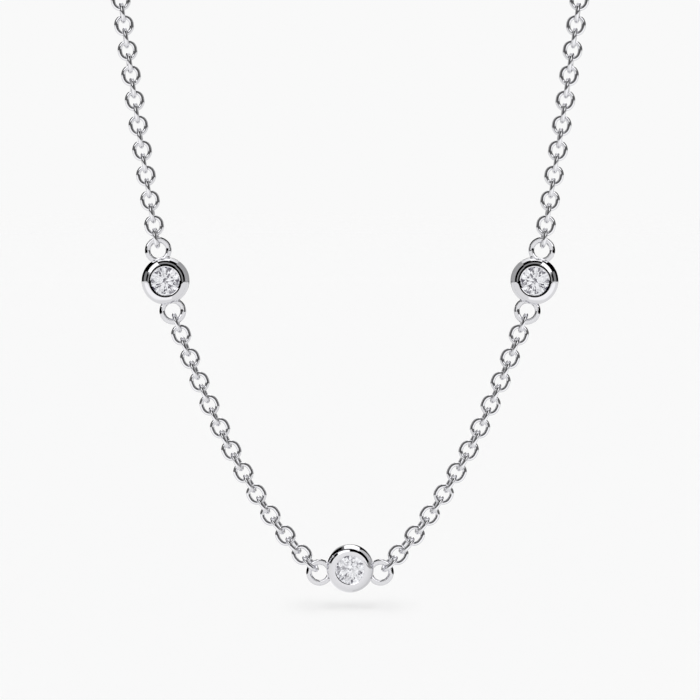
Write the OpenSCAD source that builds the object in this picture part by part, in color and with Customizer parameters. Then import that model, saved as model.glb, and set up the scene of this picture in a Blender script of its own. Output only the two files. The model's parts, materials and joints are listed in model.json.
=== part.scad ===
// Diamond station necklace on a cable chain, worn round the neck.
// The origin is the middle of the clasp at the nape. +Z is up and the front of the necklace
// faces -Y. Left and right are those of someone who looks at the front. All sizes are millimetres.

/* [Drape] */
// Height of the nape above the middle of the centre station
front_drop = 137; // [130:1:145]
// Depth of the neck from the nape to the hanging front
neck_depth = 90; // [85:1:95]
// Half of the width of the chain's ring round the neck
neck_half_width = 50; // [46:1:54]
// Depth at which the chain is widest, measured from the nape
side_depth = 46; // [42:1:50]
// Drop of the chain at the side of the neck, below the nape
side_drop = 19; // [14:1:24]

/* [Chain] */
// Length of a link over its wire
link_length = 1.73; // [1.73:0.01:1.76]
// Width of a link over its wire
link_width = 1.56; // [1.5:0.01:1.6]
// Diameter of the link's wire
link_wire = 0.3; // [0.26:0.01:0.3]
// Distance from one link's middle to the next
link_pitch = 1.01; // [0.98:0.01:1.01]
// Turn of the first link at the centre station, against the flat link that follows it
link_turn = 76; // [65:1:90]
// Links between the centre station and a side station
lower_links = 23; // [21:2:25]
// Links above a side station that are made one by one
upper_links = 24; // [20:1:25]

/* [Stations] */
// Outer diameter of the bezel
bezel_d = 3.8; // [3.7:0.05:4]
// Depth of the bezel from front to back
bezel_depth = 1.9; // [1.9:0.05:2.1]
// Diameter of the rim's edge, where the dome meets the flat ring round the stone
rim_d = 2.62; // [2.6:0.02:2.8]
// Diameter of the opening that shows the stone
opening_d = 2.28; // [2.2:0.02:2.36]
// Diameter of the hole in the bezel's back
back_hole_d = 1.5; // [1.3:0.1:1.6]
// Outer diameter of a soldered loop
loop_d = 2.14; // [2.1:0.02:2.2]
// Diameter of the loop's wire
loop_wire = 0.44; // [0.4:0.02:0.46]
// Distance from the bezel's middle to a loop's middle, side stations
side_reach = 2.5; // [2.44:0.02:2.6]
// Distance across from the bezel's middle to a loop's middle, centre station
centre_reach = 2.44; // [2.4:0.02:2.5]
// Drop of the centre station's loops below the bezel's middle
centre_loop_drop = 0.32; // [0:0.02:0.4]
// Lean of a side station's loops from upright
side_lean = 13.4; // [10:0.1:16]
// Angle at which the centre station's face looks down
centre_tilt = 2.5; // [0:0.5:12]

/* [Stones] */
// Girdle diameter of a stone
stone_d = 2.5; // [2.4:0.02:2.5]
// Table's diameter as a share of the girdle's
table_share = 0.57; // [0.52:0.01:0.62]
// Crown's height as a share of the girdle's diameter
crown_share = 0.15; // [0.13:0.005:0.16]
// Pavilion's depth as a share of the girdle's diameter
pavilion_share = 0.43; // [0.4:0.005:0.44]

/* [Clasp] */
// Outer diameter of the clasp's ring
clasp_d = 6; // [5.8:0.1:6.2]
// Thickness of the clasp's ring
clasp_wire = 1.1; // [1:0.05:1.1]
// Inner diameter of the end ring that the clasp holds
end_ring_inner_d = 2.55; // [2.5:0.05:2.6]
// Wire diameter of the end ring
end_ring_wire = 0.5; // [0.4:0.05:0.5]

/* [Hidden] */

metal = "silver";
stone_white = "aliceblue";
round_fn = 72;

// Hanging curve of the strands. A strand is a stretch of a catenary of this size, and each
// stretch starts this far along it from the catenary's own lowest point.
sag = 12.2;
lower_start = 11.3;
upper_start = 72;
// Distance from a loop's middle to the middle of the link threaded in it
loop_to_link = 1;
lower_run = 2 * loop_to_link + (lower_links - 1) * link_pitch;
// What a turned link turns further for each link below it
turn_gain = 0.5;

link_sides = 12;
wire_sides = 6;

// Clearance between a stone and its seat
seat_gap = 0.03;
girdle_h = 0.06;
girdle_z = 0.44;
stone_halves = 8;
// The girdle's corners lie this share of the way from the main facets' ends to its middle
star_share = 0.5;
lower_half_share = 0.24;
// Depth of the loops behind the bezel's middle
loop_z = -0.15;
shoulder_h = 0.75;
back_round = 0.35;
lip_h = 0.15;
// Width and slope of the edge between the flat ring and the opening
dish = 0.06;
dish_slope = 25;

// Hidden stretch round the neck, as two curves that join at the side of the neck
tube_d = 1.5;
tube_sides = 8;
tube_steps = 19;
front_pull = 32;
side_pull_front = 30;
side_pull_back = 26;
nape_pull = 28;
side_heading = [0, 0.92, 0.39];
// Half of the clasp's length, to the middle of the first link on it
clasp_reach = 4.85;
// Share of the last curve that is left free in front of the clasp
clasp_free = 0.003;

eye_inner_d = 1.1;
eye_wire = 0.45;
eye_reach = 3.8;
nub_d = 0.7;
nub_h = 0.9;
nub_angle = 60;

function unit(v) = v / norm(v);
function catenary_across(s) = sag * ln(s / sag + sqrt(1 + pow(s / sag, 2)));
function catenary_up(s) = sqrt(sag * sag + s * s);
function catenary_lean(s) = atan2(sag, s);

// Places in the plane of the front, as distance across and height
centre_loop = [-centre_reach, -front_drop - centre_loop_drop];
function strand_point(from, start, s) = [
    from[0] - catenary_across(start + s) + catenary_across(start),
    from[1] + catenary_up(start + s) - catenary_up(start)];
lean_dir = [-sin(side_lean), cos(side_lean)];
left_lower_loop = strand_point(centre_loop, lower_start, lower_run);
left_bezel = left_lower_loop + side_reach * lean_dir;
left_upper_loop = left_bezel + side_reach * lean_dir;

// A round wire link, its length along Z and its width along X
module link() {
    across = (link_width - link_wire) / 2;
    along = (link_length - link_wire) / 2;
    points = [for (i = [0:link_sides - 1]) for (j = [0:wire_sides - 1])
        let (a = 360 * i / link_sides,
             b = 360 * j / wire_sides,
             out = unit([cos(a) / across, 0, sin(a) / along]),
             middle = [across * cos(a), 0, along * sin(a)])
        middle + link_wire / 2 * (cos(b) * out + [0, sin(b), 0])];
    faces = [for (i = [0:link_sides - 1]) for (j = [0:wire_sides - 1])
        let (i2 = (i + 1) % link_sides, j2 = (j + 1) % wire_sides)
        [i * wire_sides + j, i2 * wire_sides + j, i2 * wire_sides + j2, i * wire_sides + j2]];
    polyhedron(points, faces);
}

// Links one after another up a strand, every second one turned, with a number of links below it
module strand(from, start, count, below) {
    for (k = [0:count - 1]) {
        s = loop_to_link + k * link_pitch;
        place = strand_point(from, start, s);
        translate([place[0], -neck_depth, place[1]])
            rotate([0, -catenary_lean(start + s), 0])
                rotate([0, 0, k % 2 == 0 ? link_turn + turn_gain * (below + k) : 0])
                    link();
    }
}

module chain_lower() {
    color(metal) strand(centre_loop, lower_start, lower_links, 0);
}

module chain_upper() {
    color(metal) strand(left_upper_loop, upper_start, upper_links, lower_links);
}

function curve_point(c, t) = pow(1 - t, 3) * c[0] + 3 * pow(1 - t, 2) * t * c[1]
    + 3 * (1 - t) * t * t * c[2] + pow(t, 3) * c[3];
function curve_heading(c, t) = unit(pow(1 - t, 2) * (c[1] - c[0]) + 2 * (1 - t) * t * (c[2] - c[1])
    + t * t * (c[3] - c[2]));

// The two curves of the hidden stretch on the left, from the last link made to the clasp
back_from = let (s = loop_to_link + upper_links * link_pitch, place = strand_point(left_upper_loop, upper_start, s))
    [place[0], -neck_depth, place[1]];
back_heading = let (a = catenary_lean(upper_start + loop_to_link + upper_links * link_pitch))
    [-sin(a), 0, cos(a)];
side_point = [-neck_half_width, -side_depth, -side_drop];
side_way = unit(side_heading);
clasp_point = [-clasp_reach, 0, 0];
front_curve = [back_from, back_from + front_pull * back_heading, side_point - side_pull_front * side_way,
    side_point];
nape_curve = [side_point, side_point + side_pull_back * side_way, clasp_point - [nape_pull, 0, 0],
    clasp_point];

// A point of the hidden stretch, with u from 0 at its front end to 2 at the clasp
function back_point(u) = u < 1 ? curve_point(front_curve, u) : curve_point(nape_curve, u - 1);
function back_way(u) = u < 1 ? curve_heading(front_curve, u) : curve_heading(nape_curve, u - 1);

module chain_back() {
    last = 2 * tube_steps;
    points = [for (i = [0:last])
        let (u = i * (2 - clasp_free) / last,
             middle = back_point(u),
             way = back_way(u),
             away = [middle[0], middle[1] + side_depth, 0],
             side = unit(cross(way, away)),
             out = cross(side, way))
        for (j = [0:tube_sides - 1])
        let (a = 360 * j / tube_sides)
        middle + tube_d / 2 * (cos(a) * out + sin(a) * side)];
    walls = [for (i = [0:last - 1]) for (j = [0:tube_sides - 1])
        let (j2 = (j + 1) % tube_sides)
        [i * tube_sides + j, i * tube_sides + j2, (i + 1) * tube_sides + j2, (i + 1) * tube_sides + j]];
    near_end = [[for (j = [0:tube_sides - 1]) tube_sides - 1 - j]];
    far_end = [[for (j = [0:tube_sides - 1]) last * tube_sides + j]];
    color(metal) polyhedron(points, concat(walls, near_end, far_end));
}

// Points of a quarter of an ellipse, from its outer end up to its top
function quarter(middle, across, up, from, to, steps) = [for (i = [0:steps])
    let (a = from + (to - from) * i / steps)
    middle + [across * cos(a), up * sin(a)]];

// The bezel is turned about its own axis, with its face towards +Z
module bezel() {
    outer = bezel_d / 2;
    edge = rim_d / 2;
    lip = opening_d / 2;
    seat = stone_d / 2 + seat_gap;
    hole = back_hole_d / 2;
    front = bezel_depth / 2;
    girdle_top = girdle_z + girdle_h / 2 + seat_gap;
    girdle_bottom = girdle_z - girdle_h / 2 - seat_gap;
    seat_slope = pavilion_share * stone_d / (stone_d / 2);
    hole_top = girdle_bottom - (seat - hole) * seat_slope;
    dome = quarter([edge, front - shoulder_h], outer - edge, shoulder_h, 0, 90, 10);
    heel = quarter([outer - back_round, back_round - front], back_round, back_round, -90, 0, 5);
    inside = [[lip + dish, front], [lip, front - dish * tan(dish_slope)], [lip, girdle_top + lip_h],
        [seat, girdle_top], [seat, girdle_bottom], [hole, hole_top], [hole, -front]];
    rotate_extrude($fn = round_fn) polygon(concat(heel, dome, inside));
}

module loop(outer_d, wire) {
    rotate_extrude($fn = round_fn) translate([(outer_d - wire) / 2, 0]) circle(d = wire, $fn = 24);
}

// Bezel and its two soldered loops, one to each side along X
module setting(reach, drop) {
    union() {
        bezel();
        for (side = [-1, 1])
            translate([side * reach, -drop, loop_z]) loop(loop_d, loop_wire);
    }
}

// A round brilliant with its table towards +Z and its girdle at the seat
module brilliant() {
    n = stone_halves;
    step = 360 / n;
    girdle = stone_d / 2;
    table = girdle * table_share;
    top = girdle_z + girdle_h / 2;
    bottom = girdle_z - girdle_h / 2;
    table_z = top + crown_share * stone_d;
    culet_z = bottom - pavilion_share * stone_d;
    star = table + (girdle - table) * star_share;
    star_z = top + (table_z - top) * (girdle - star * cos(step / 2)) / (girdle - table);
    half = girdle * lower_half_share;
    half_z = culet_z + (bottom - culet_z) * half * cos(step / 2) / girdle;
    points = concat(
        [for (i = [0:n - 1]) [table * cos(i * step), table * sin(i * step), table_z]],
        [for (i = [0:n - 1]) [star * cos((i + 0.5) * step), star * sin((i + 0.5) * step), star_z]],
        [for (i = [0:2 * n - 1]) [girdle * cos(i * step / 2), girdle * sin(i * step / 2), top]],
        [for (i = [0:2 * n - 1]) [girdle * cos(i * step / 2), girdle * sin(i * step / 2), bottom]],
        [for (i = [0:n - 1]) [half * cos((i + 0.5) * step), half * sin((i + 0.5) * step), half_z]],
        [[0, 0, culet_z]]);
    stars = n;
    girdle_top = 2 * n;
    girdle_bottom = 4 * n;
    halves = 6 * n;
    culet = 7 * n;
    table_face = [[for (i = [0:n - 1]) n - 1 - i]];
    rim = 2 * n;
    star_faces = [for (i = [0:n - 1]) [i, (i + 1) % n, stars + i]];
    kite_faces = [for (i = [0:n - 1])
        [i, stars + i, girdle_top + 2 * i, stars + (i + n - 1) % n]];
    upper_faces = [for (i = [0:n - 1]) each [
        [stars + i, girdle_top + 2 * i + 1, girdle_top + 2 * i],
        [stars + i, girdle_top + (2 * i + 2) % rim, girdle_top + 2 * i + 1]]];
    girdle_faces = [for (i = [0:rim - 1])
        [girdle_top + i, girdle_top + (i + 1) % rim, girdle_bottom + (i + 1) % rim, girdle_bottom + i]];
    lower_faces = [for (i = [0:n - 1]) each [
        [halves + i, girdle_bottom + 2 * i, girdle_bottom + 2 * i + 1],
        [halves + i, girdle_bottom + 2 * i + 1, girdle_bottom + (2 * i + 2) % rim]]];
    main_faces = [for (i = [0:n - 1])
        [girdle_bottom + 2 * i, halves + i, culet, halves + (i + n - 1) % n]];
    color(stone_white) polyhedron(points, concat(table_face, star_faces, kite_faces, upper_faces,
        girdle_faces, lower_faces, main_faces));
}

// A station's own frame has its face towards +Z and its top towards +Y. Each station is placed
// so that its loops lie in the plane of the strands.
module at_centre() {
    translate([0, -neck_depth, centre_loop[1]])
        rotate([90 + centre_tilt, 0, 0]) translate([0, centre_loop_drop, -loop_z]) children();
}

module at_left() {
    translate([left_bezel[0], -neck_depth, left_bezel[1]])
        rotate([90, 0, 0]) rotate([0, 0, 90 + side_lean]) translate([0, 0, -loop_z]) children();
}

module setting_centre() {
    color(metal) at_centre() setting(centre_reach, centre_loop_drop);
}

module setting_left() {
    color(metal) at_left() setting(side_reach, 0);
}

// The clasp is one plain ring with a soldered eye and a thumb nub
module clasp() {
    color(metal) rotate([90, 0, 0]) union() {
        loop(clasp_d, clasp_wire);
        translate([-eye_reach, 0, 0]) loop(eye_inner_d + 2 * eye_wire, eye_wire);
        rotate([0, 0, nub_angle]) translate([(clasp_d - clasp_wire) / 2, 0, 0])
            rotate([0, 90, 0]) cylinder(d = nub_d, h = nub_h, $fn = 24);
    }
}

// The end ring lies level, through the clasp's ring and the last link on the right
module end_ring() {
    reach = clasp_reach - (link_pitch + end_ring_inner_d) / 2;
    color(metal) translate([reach, 0, 0]) loop(end_ring_inner_d + 2 * end_ring_wire, end_ring_wire);
}

setting_centre();
setting_left();
mirror([1, 0, 0]) setting_left();  // setting_right
at_centre() brilliant();  // stone_centre
at_left() brilliant();  // stone_left
mirror([1, 0, 0]) at_left() brilliant();  // stone_right
chain_lower();  // chain_left_lower
mirror([1, 0, 0]) chain_lower();  // chain_right_lower
chain_upper();  // chain_left_upper
mirror([1, 0, 0]) chain_upper();  // chain_right_upper
chain_back();  // chain_left_back
mirror([1, 0, 0]) chain_back();  // chain_right_back
clasp();
end_ring();
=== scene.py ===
"""Finishes of a diamond station necklace, built round the packed solids.

The bezels, stones, chain and clasp are modelled again at a jeweller's level of finish, each in the
place of its own solid. Everything is in metres. The front of the necklace faces -Y, and left and
right are those of someone who looks at the front.
"""
import json
import math
from functools import partial

import bmesh
import bpy
from bpy.props import FloatProperty, FloatVectorProperty, IntProperty, PointerProperty
from bpy.types import Operator, Panel, PropertyGroup
from mathutils import Matrix, Vector
from mathutils.geometry import interpolate_bezier

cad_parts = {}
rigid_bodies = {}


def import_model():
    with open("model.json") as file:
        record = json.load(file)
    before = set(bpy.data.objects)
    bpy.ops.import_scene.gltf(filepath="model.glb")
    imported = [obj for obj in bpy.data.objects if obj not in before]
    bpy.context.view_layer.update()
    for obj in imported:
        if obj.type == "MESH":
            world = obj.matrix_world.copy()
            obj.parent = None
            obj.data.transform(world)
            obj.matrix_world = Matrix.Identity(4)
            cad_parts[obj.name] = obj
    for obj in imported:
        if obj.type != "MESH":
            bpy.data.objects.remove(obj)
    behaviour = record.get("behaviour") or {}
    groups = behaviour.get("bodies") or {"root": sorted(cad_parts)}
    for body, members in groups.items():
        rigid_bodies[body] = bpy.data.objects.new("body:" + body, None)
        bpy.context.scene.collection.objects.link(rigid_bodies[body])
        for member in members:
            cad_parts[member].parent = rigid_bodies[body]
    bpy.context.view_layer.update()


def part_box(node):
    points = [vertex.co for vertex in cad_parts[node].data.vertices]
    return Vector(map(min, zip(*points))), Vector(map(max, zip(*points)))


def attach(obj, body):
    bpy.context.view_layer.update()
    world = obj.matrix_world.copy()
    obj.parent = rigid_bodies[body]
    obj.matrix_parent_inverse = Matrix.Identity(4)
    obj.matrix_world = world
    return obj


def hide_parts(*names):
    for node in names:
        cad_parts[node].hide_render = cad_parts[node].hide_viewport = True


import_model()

bl_info = {
    "name": "Diamond Station Necklace",
    "version": (1, 0, 0),
    "blender": (4, 5, 0),
    "location": "3D View > Sidebar > Necklace",
    "description": "Makes the settings, stones, chain, clasp and studio of a diamond station necklace",
    "category": "Add Mesh",
}

MM = 0.001
BODY = "root"
FRONT = Vector((0, -1, 0))
# The left is modelled, and the right is its mirror image.
SIDES = {"left": Matrix.Identity(4), "right": Matrix.Scale(-1, 4, (1, 0, 0))}

# A point this near to a facet's plane lies on it.
TOUCH = 1e-8
# An edge that folds further than this stays sharp, and a face whose normal rises this far is level.
SMOOTH_ANGLE = math.radians(38)
LEVEL = 0.99999
# How far a piece may reach past the box of the solid that it stands for.
FIT = 0.12 * MM
# Step, in radians, from one link to the next along the wave of their stray turns.
STRAY = 2.4
# Links over which the hidden chain turns from the front to face away from the neck.
BLEND_LINKS = 20
# Points along each curve of the hidden chain's route.
ROUTE_POINTS = 600

# Segments of the rounds that no setting gives.
HEEL_STEPS = 6
DOME_STEPS = 16
LOOP_SIDES = 48
LOOP_WIRE_SIDES = 20
CLASP_WIRE_SIDES = 24
EYE_SIDES = 40
EYE_WIRE_SIDES = 16
NUB_SIDES = 32
NUB_STEPS = 4
END_RING_SIDES = 48
END_RING_WIRE_SIDES = 16

# Most of a noise texture's values lie in this range.
NOISE_RANGE = (0.3, 0.7)
# Scales of noise, to the metre: the metal's clouds of colour, haze and waves, and a stone's clouds.
METAL_CLOUDS = 700
METAL_HAZE = 5200
METAL_WAVES = 2600
STONE_CLOUDS = 900
# Roughness of the metal from its highest polish to its haze, and the size of its waves.
POLISH_RANGE = (0.03, 0.075)
WAVE_STRENGTH = 0.05
WAVE_HEIGHT = 0.002 * MM


def length(name, text, millimetres):
    """A length property, given in millimetres."""
    return FloatProperty(name=name, description=text, default=millimetres * MM, unit="LENGTH",
                         precision=5)


def turn(name, text, degrees):
    """An angle property, given in degrees."""
    return FloatProperty(name=name, description=text, default=math.radians(degrees), unit="ROTATION")


def share(name, text, value):
    """A property from 0 to 1."""
    return FloatProperty(name=name, description=text, default=value, min=0, max=1, subtype="FACTOR")


def count(name, text, value):
    """A whole number of things."""
    return IntProperty(name=name, description=text, default=value, min=3)


def tint(name, text, value):
    """A colour property."""
    return FloatVectorProperty(name=name, description=text, default=value, size=3, min=0, max=1,
                               subtype="COLOR")


class DrapeSettings(PropertyGroup):
    """How the chain hangs and runs round the neck."""

    front_drop: length("Front drop", "Height of the nape above the centre station", 137)
    neck_depth: length("Neck depth", "Distance from the nape to the hanging front", 90)
    sag: length("Sag", "Size of the catenary that both strands follow", 12.2)
    lower_start: length("Lower start", "Where the lower strand starts along the catenary", 11.3)
    upper_start: length("Upper start", "Where the upper strand starts along the catenary", 72)
    half_width: length("Half width", "Distance from the middle to the chain at the side of the neck", 50)
    side_depth: length("Side depth", "Depth at which the chain is widest", 46)
    side_drop: length("Side drop", "Drop of the chain at the side of the neck", 19)
    front_pull: length("Front pull", "Pull of the hidden curve at its front end", 32)
    side_pull_front: length("Side pull, front", "Pull of the front curve at the side of the neck", 30)
    side_pull_back: length("Side pull, back", "Pull of the back curve at the side of the neck", 26)
    nape_pull: length("Nape pull", "Pull of the back curve at the clasp", 28)
    side_rise: turn("Side rise", "Rise of the chain as it passes the side of the neck", 22.97)


class ChainSettings(PropertyGroup):
    """The cable chain's links."""

    link_length: length("Link length", "Length of a link over its wire", 1.71)
    link_width: length("Link width", "Width of a link over its wire", 1.56)
    wire: length("Wire", "Diameter of the link's wire", 0.35)
    pitch: length("Pitch", "Distance from one link's middle to the next", 1.01)
    link_turn: turn("Turn", "Turn of the centre station's first link against the flat one after it", 76)
    turn_gain: turn("Turn gain", "What a turned link turns further for each link below it", 0.5)
    swing: turn("Swing", "Largest stray turn of a link", 3)
    loop_to_link: length("Loop to link", "Distance from a loop's middle to the link threaded in it", 1)
    lower_links: count("Lower links", "Links between the centre station and a side station", 23)
    upper_links: count("Upper links", "Links from a side station to the top of the front", 24)
    left_back_steps: count("Left back steps", "Links of the hidden stretch on the left", 166)
    right_back_steps: count("Right back steps", "Links of the hidden stretch on the right", 165)
    front_sides: count("Front link sides", "Segments round a link of the front", 40)
    front_wire_sides: count("Front wire sides", "Segments round the wire of a front link", 16)
    back_sides: count("Back link sides", "Segments round a link of the hidden stretch", 12)
    back_wire_sides: count("Back wire sides", "Segments round the wire of a hidden link", 6)


class StationSettings(PropertyGroup):
    """The rounded bezels and their soldered loops."""

    bezel_d: length("Bezel", "Outer diameter of the bezel", 3.8)
    bezel_depth: length("Depth", "Depth of the bezel from front to back", 1.9)
    rim_d: length("Rim edge", "Diameter at which the dome meets the flat ring round the stone", 2.62)
    dome_end: turn("Dome end", "How far the dome turns over before the flat ring", 86)
    opening_d: length("Opening", "Diameter of the opening that shows the stone", 2.28)
    dish: length("Dish", "Width of the sloping edge between the flat ring and the opening", 0.06)
    dish_slope: turn("Dish slope", "Slope of that edge", 25)
    back_hole_d: length("Back hole", "Diameter of the hole in the back", 1.5)
    shoulder: length("Shoulder", "Depth of the dome", 0.75)
    heel: length("Heel", "Radius of the rounded back edge", 0.35)
    lip: length("Lip", "Height of the lip's edge over the seat", 0.15)
    loop_d: length("Loop", "Outer diameter of a soldered loop", 2.14)
    loop_wire: length("Loop wire", "Diameter of the loop's wire", 0.46)
    loop_back: length("Loop set-back", "Depth of the loops behind the bezel's middle", 0.15)
    side_reach: length("Side reach", "Distance from a side bezel's middle to its loop's", 2.5)
    centre_reach: length("Centre reach", "Distance across from the centre bezel to its loop", 2.44)
    centre_loop_drop: length("Loop drop", "Drop of the centre loops below the bezel's middle", 0.32)
    side_lean: turn("Side lean", "Lean of a side station from upright", 13.4)
    centre_tilt: turn("Centre tilt", "Angle at which the centre station looks down", 2.5)
    sides: count("Sides", "Segments round a bezel", 96)


class StoneSettings(PropertyGroup):
    """The round brilliants."""

    diameter: length("Diameter", "Girdle diameter of a stone", 2.5)
    table: share("Table", "Diameter of the table as a share of the girdle's", 0.57)
    crown: share("Crown", "Height of the crown as a share of the girdle's diameter", 0.15)
    pavilion: share("Pavilion", "Depth of the pavilion as a share of the girdle's diameter", 0.43)
    girdle: length("Girdle", "Thickness of the girdle", 0.06)
    girdle_height: length("Girdle height", "Height of the girdle above the bezel's middle", 0.44)
    seat_gap: length("Seat gap", "Clearance between a stone and its seat", 0.03)
    star_share: share("Star share", "How far the star facets reach down the crown", 0.5)
    lower_share: share("Lower share", "Where the lower half facets end, from the culet", 0.24)
    halves: count("Main facets", "Main facets of the crown and of the pavilion", 8)
    girdle_sides: count("Girdle sides", "Segments round the girdle", 64)


class ClaspSettings(PropertyGroup):
    """The plain ring clasp and the end ring."""

    clasp_d: length("Clasp", "Outer diameter of the clasp's ring", 6)
    clasp_wire: length("Clasp wire", "Thickness of the clasp's ring", 1.1)
    eye_inner_d: length("Eye", "Inner diameter of the clasp's eye", 1.1)
    eye_wire: length("Eye wire", "Wire of the clasp's eye", 0.45)
    eye_reach: length("Eye reach", "Distance from the clasp's middle to the eye's", 3.8)
    nub_d: length("Nub", "Diameter of the thumb nub", 0.7)
    nub_h: length("Nub height", "Height of the thumb nub over the ring's middle line", 0.9)
    nub_turn: turn("Nub turn", "Place of the thumb nub round the ring", 60)
    end_inner_d: length("End ring", "Inner diameter of the end ring", 2.55)
    end_wire: length("End ring wire", "Wire of the end ring", 0.5)
    reach: length("Reach", "Distance from the clasp's middle to the first link", 4.85)
    sides: count("Sides", "Segments round the clasp's ring", 64)


class FinishSettings(PropertyGroup):
    """Colours of the metal and of the stones."""

    metal: tint("White gold", "Colour of the polished white gold", (0.90, 0.898, 0.925))
    metal_deep: tint("Deep white gold", "Colour of the faintly darker patches", (0.86, 0.858, 0.885))
    stone: tint("Diamond", "Colour of the diamonds", (0.955, 0.965, 1.0))
    stone_pale: tint("Pale diamond", "Colour of the diamonds' paler clouds", (0.98, 0.985, 1.0))
    stone_index: FloatProperty(name="Index", description="Refractive index of the stones", default=2.417)


class StudioSettings(PropertyGroup):
    """Camera, floor and light cards."""

    frame_width: length("Frame width", "Width of the picture at the hanging front", 56)
    frame_middle: length("Frame middle", "Height of the picture's middle, from the nape", -119.5)
    distance: length("Distance", "Distance from the camera to the hanging front", 600)
    camera_rise: length("Camera rise", "Height of the camera over the picture's middle", 20)
    floor_height: length("Floor", "Height of the floor, from the nape", -140)
    floor_size: length("Floor size", "Radius of the floor", 2000)
    shell_radius: length("Shell radius", "Distance of the nearest set of light cards", 1500)
    pale: FloatProperty(name="Pale", description="Brightness of the floor and backdrop", default=0.947)
    lights_drop: length("Lights' middle", "Drop of the middle of the light cards below the nape", 114)
    shade_share: share("Shade share", "Share of the floor's light that the overhead tubes give", 0.5)
    tube_height: length("Tube height", "Height of the overhead tubes", 100000)
    tube_inner: share("Tube inner", "Inner edge of a tube, as a share of its height", 0.5)
    tube_outer: share("Tube outer", "Outer edge of a tube, as a share of its height", 0.85)
    tube_dip: share("Tube dip", "How much dimmer the tubes are straight overhead", 0.45)
    tube_reach: turn("Tube reach", "How far the tubes run from overhead, to the front and to the back", 72)


GROUPS = {
    "necklace_drape": DrapeSettings,
    "necklace_chain": ChainSettings,
    "necklace_station": StationSettings,
    "necklace_stone": StoneSettings,
    "necklace_clasp": ClaspSettings,
    "necklace_finish": FinishSettings,
    "necklace_studio": StudioSettings,
}


def make_node(tree, kind, inputs=None, **options):
    """A shader node with its options set. Each input takes a value, or another node's output."""
    node = tree.nodes.new(f"ShaderNode{kind}")
    for name, value in options.items():
        setattr(node, name, value)
    for socket, value in (inputs or {}).items():
        if isinstance(value, bpy.types.NodeSocket):
            tree.links.new(value, node.inputs[socket])
        else:
            node.inputs[socket].default_value = value
    return node


def noise(tree, coordinates, scale, detail):
    """A noise texture that reads the given coordinates."""
    inputs = {"Vector": coordinates, "Scale": scale, "Detail": detail}
    return make_node(tree, "TexNoise", inputs).outputs["Fac"]


def ranged(tree, value, source, target):
    """The value, with one range spread over another."""
    limits = {"From Min": source[0], "From Max": source[1], "To Min": target[0], "To Max": target[1]}
    return make_node(tree, "MapRange", {"Value": value, **limits}).outputs["Result"]


def mixed(tree, factor, first, second):
    """A colour between two colours."""
    inputs = {"Factor": factor, "A": (*first, 1), "B": (*second, 1)}
    return make_node(tree, "Mix", inputs, data_type="RGBA").outputs["Result"]


def added(tree, first, second):
    """Two shaders added up."""
    return make_node(tree, "AddShader", {0: first, 1: second}).outputs["Shader"]


def empty_material(name):
    """A material, new or of that name, with nothing in its tree."""
    material = bpy.data.materials.get(name) or bpy.data.materials.new(name)
    material.use_nodes = True
    material.node_tree.nodes.clear()
    return material, material.node_tree


def show(tree, shader):
    """Makes the shader the material's surface."""
    make_node(tree, "OutputMaterial", {"Surface": shader})


def white_gold(context):
    """High polish, with the faint clouds, haze and waves that a buffed surface keeps."""
    finish = context.scene.necklace_finish
    material, tree = empty_material("White_gold_polished")
    coordinates = make_node(tree, "TexCoord").outputs["Object"]
    clouds = noise(tree, coordinates, METAL_CLOUDS, detail=3)
    haze = noise(tree, coordinates, METAL_HAZE, detail=2)
    waves = noise(tree, coordinates, METAL_WAVES, detail=1)
    bump = make_node(tree, "Bump", {"Strength": WAVE_STRENGTH, "Distance": WAVE_HEIGHT, "Height": waves})
    gold = make_node(tree, "BsdfPrincipled", {
        "Metallic": 1,
        "Base Color": mixed(tree, clouds, finish.metal_deep, finish.metal),
        "Roughness": ranged(tree, haze, NOISE_RANGE, POLISH_RANGE),
        "Normal": bump.outputs["Normal"],
    })
    show(tree, gold.outputs["BSDF"])
    return material


def diamond(context):
    """Colourless diamond, with the faintest clouds of colour."""
    finish = context.scene.necklace_finish
    material, tree = empty_material("Diamond_brilliant")
    clouds = noise(tree, make_node(tree, "TexCoord").outputs["Object"], STONE_CLOUDS, detail=1)
    stone = make_node(tree, "BsdfPrincipled", {
        "Transmission Weight": 1,
        "IOR": finish.stone_index,
        "Roughness": 0,
        "Base Color": mixed(tree, clouds, finish.stone, finish.stone_pale),
    })
    show(tree, stone.outputs["BSDF"])
    return material


def shade(bm, smooth=True):
    """Smooth faces with normals outwards. Edges that fold sharply, or are marked already, stay sharp."""
    bmesh.ops.recalc_face_normals(bm, faces=bm.faces[:])
    for face in bm.faces:
        face.smooth = smooth
    for edge in bm.edges:
        if len(edge.link_faces) == 2 and edge.calc_face_angle() > SMOOTH_ANGLE:
            edge.smooth = False


def new_object(name, bm, material, smooth=True):
    """An object at the origin that holds the bmesh."""
    shade(bm, smooth)
    mesh = bpy.data.meshes.new(name)
    bm.to_mesh(mesh)
    bm.free()
    if material:
        mesh.materials.append(material)
    piece = bpy.data.objects.new(name, mesh)
    bpy.context.scene.collection.objects.link(piece)
    return piece


def take_place(piece, node):
    """The piece takes a solid's place on the body."""
    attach(piece, BODY)
    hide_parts(node)


def stand_for(piece, node):
    """The piece takes a solid's place, and has to lie where the solid lies."""
    low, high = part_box(node)
    spots = [v.co for v in piece.data.vertices]
    for axis in range(3):
        places = [spot[axis] for spot in spots]
        if min(places) < low[axis] - FIT or max(places) > high[axis] + FIT:
            raise ValueError(f"{piece.name} reaches outside {node}")
    take_place(piece, node)


def shift(bm, way):
    """Moves all of the bmesh."""
    bmesh.ops.translate(bm, verts=bm.verts[:], vec=way)


def rotate(bm, angle, axis):
    """Turns all of the bmesh round an axis through the origin."""
    bmesh.ops.rotate(bm, verts=bm.verts[:], matrix=Matrix.Rotation(angle, 3, axis))


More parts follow.
